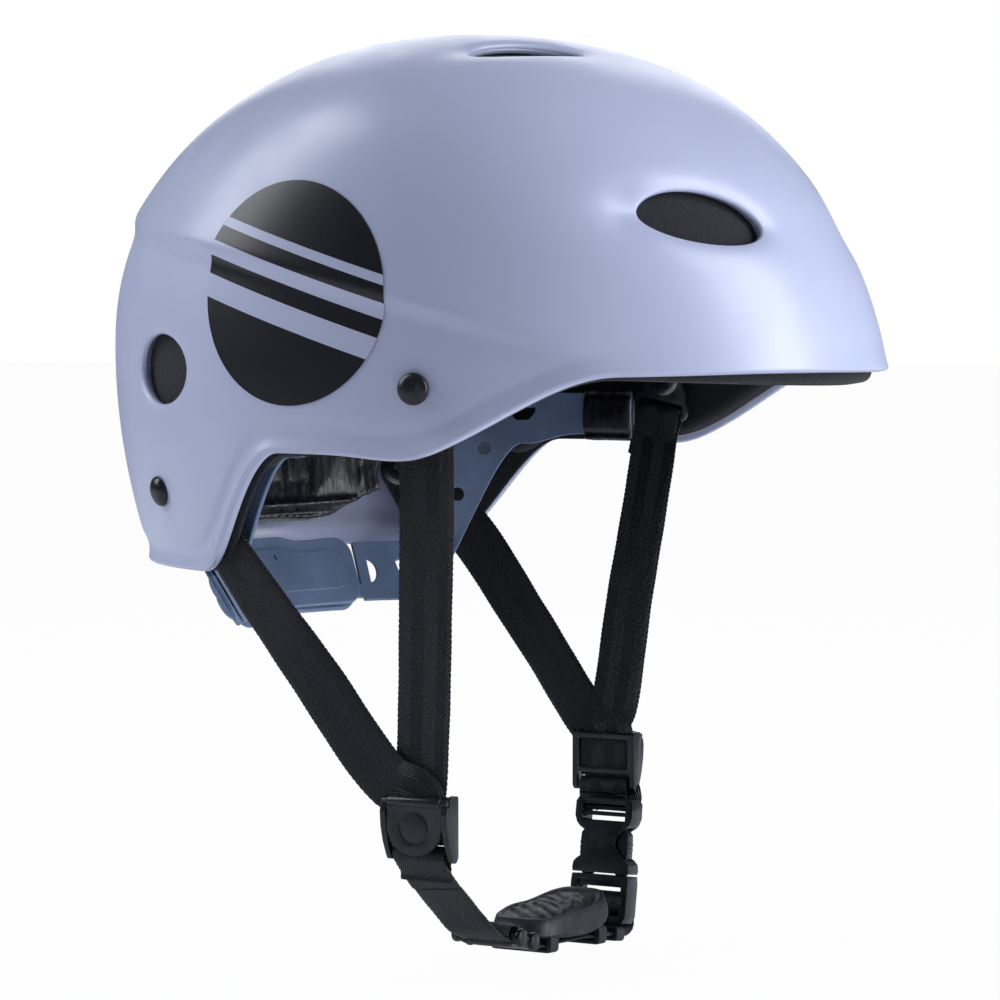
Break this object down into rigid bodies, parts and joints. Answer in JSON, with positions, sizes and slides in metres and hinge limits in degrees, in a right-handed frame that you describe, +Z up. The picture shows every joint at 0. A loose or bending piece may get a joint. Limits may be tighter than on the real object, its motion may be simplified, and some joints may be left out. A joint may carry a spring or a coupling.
{
  "type": "water sports helmet",
  "caption": "Whitewater helmet with a vented hard shell, foam liner, four-point harness with side-release buckle and a dial fit cradle.",
  "frame": {"origin": "centre of the crown pad's flat underside, where the top of the head rests", "axes": "+X forward, +Y to the wearer's left, +Z up"},
  "size_m": [0.2746, 0.2238, 0.3118],
  "materials": {
    "white_abs": "satin",
    "black_eva": "matt closed-cell foam",
    "black_leatherette": "satin, fine vertical creases",
    "black_webbing": "twill-woven webbing",
    "black_plastic": "moulded, fine texture",
    "blue_grey_plastic": "moulded, satin",
    "black_rubber": "moulded",
    "steel": "blackened"
  },
  "bodies": {
    "helmet": {"outer_shell": "white_abs", "foam_liner": "black_eva", "crown_pad": "black_leatherette", "brow_pad": "black_leatherette", "side_pad_right": "black_leatherette", "side_pad_left": "black_leatherette", "rear_pad": "black_leatherette", "rivet_front_right": "black_plastic", "rivet_front_left": "black_plastic", "rivet_rear_right": "black_plastic", "rivet_rear_left": "black_plastic", "eyelet_front_right": "steel", "eyelet_front_left": "steel", "eyelet_rear_right": "steel", "eyelet_rear_left": "steel", "strap_hanger_front_right": "steel", "strap_hanger_front_left": "steel", "strap_hanger_rear_right": "steel", "strap_hanger_rear_left": "steel", "front_strap_right": "black_webbing", "front_strap_left": "black_webbing", "rear_strap_right": "black_webbing", "rear_strap_left": "black_webbing", "short_strap_left": "black_webbing", "divider_right": "black_plastic", "divider_left": "black_plastic", "buckle_socket": "black_plastic", "dial_housing": "blue_grey_plastic", "dial_cover": "blue_grey_plastic"},
    "chin_strap_body": {"chin_strap": "black_webbing", "buckle_plug": "black_plastic"},
    "front_prong": {"prong_front": "black_plastic"},
    "rear_prong": {"prong_rear": "black_plastic"},
    "chin_pad_body": {"chin_pad": "black_rubber"},
    "slider_body": {"strap_slider": "black_plastic"},
    "keeper_body": {"strap_keeper": "black_rubber"},
    "flap_right": {"lock_flap_right": "black_plastic"},
    "flap_left": {"lock_flap_left": "black_plastic"},
    "dial": {"dial_knob": "blue_grey_plastic", "dial_pinion": "black_plastic", "dial_screw": "steel", "click_spring": "steel"},
    "right_arm": {"band_right": "blue_grey_plastic", "band_pin_right": "black_plastic", "temple_pad_right": "black_leatherette"},
    "left_arm": {"band_left": "blue_grey_plastic", "band_pin_left": "black_plastic", "temple_pad_left": "black_leatherette"}
  },
  "joints": [
    {"name": "chin_swing", "type": "hinge", "parent": "helmet", "child": "chin_strap_body", "pos_m": [0.013, -0.0806, -0.2438], "axis": [-1, 0, 0], "range_deg": [0, 50]},
    {"name": "prong_front_squeeze", "type": "hinge", "parent": "chin_strap_body", "child": "front_prong", "pos_m": [0.0269, 0.04133, -0.26725], "axis": [0, -0.988, 0.1547], "range_deg": [0, 6]},
    {"name": "prong_rear_squeeze", "type": "hinge", "parent": "chin_strap_body", "child": "rear_prong", "pos_m": [0.0141, 0.04133, -0.26725], "axis": [0, 0.988, -0.1547], "range_deg": [0, 6]},
    {"name": "chin_pad_slide", "type": "slide", "parent": "chin_strap_body", "child": "chin_pad_body", "axis": [0, 0.996, -0.0889], "range_m": [-0.003, 0.003]},
    {"name": "slider_slide", "type": "slide", "parent": "chin_strap_body", "child": "slider_body", "axis": [0, 0.9578, -0.2873], "range_m": [-0.003, 0.003]},
    {"name": "keeper_slide", "type": "slide", "parent": "chin_strap_body", "child": "keeper_body", "axis": [0, 0.9866, -0.1632], "range_m": [-0.003, 0.003]},
    {"name": "flap_right_lift", "type": "hinge", "parent": "helmet", "child": "flap_right", "pos_m": [0.013, -0.0852, -0.2264], "axis": [-1, 0, 0], "range_deg": [0, 70]},
    {"name": "flap_left_lift", "type": "hinge", "parent": "helmet", "child": "flap_left", "pos_m": [0.016, 0.0562, -0.2199], "axis": [1, 0, 0], "range_deg": [0, 70]},
    {"name": "dial_turn", "type": "hinge", "parent": "helmet", "child": "dial", "pos_m": [-0.09607, 0, -0.164], "axis": [-0.866, 0, -0.5], "range_deg": [0, 210]},
    {"name": "right_arm_draw", "type": "hinge", "parent": "helmet", "child": "right_arm", "pos_m": [-0.017, 0, -0.164], "axis": [0, 0, -1], "range_deg": [0, 14.2]},
    {"name": "left_arm_draw", "type": "hinge", "parent": "helmet", "child": "left_arm", "pos_m": [-0.017, 0, -0.164], "axis": [0, 0, 1], "range_deg": [0, 14.2]}
  ],
  "couplings": [
    {"joint": "prong_rear_squeeze", "follows": "prong_front_squeeze", "ratio": 1},
    {"joint": "right_arm_draw", "follows": "dial_turn", "ratio": 0.0667},
    {"joint": "left_arm_draw", "follows": "dial_turn", "ratio": 0.0667}
  ]
}
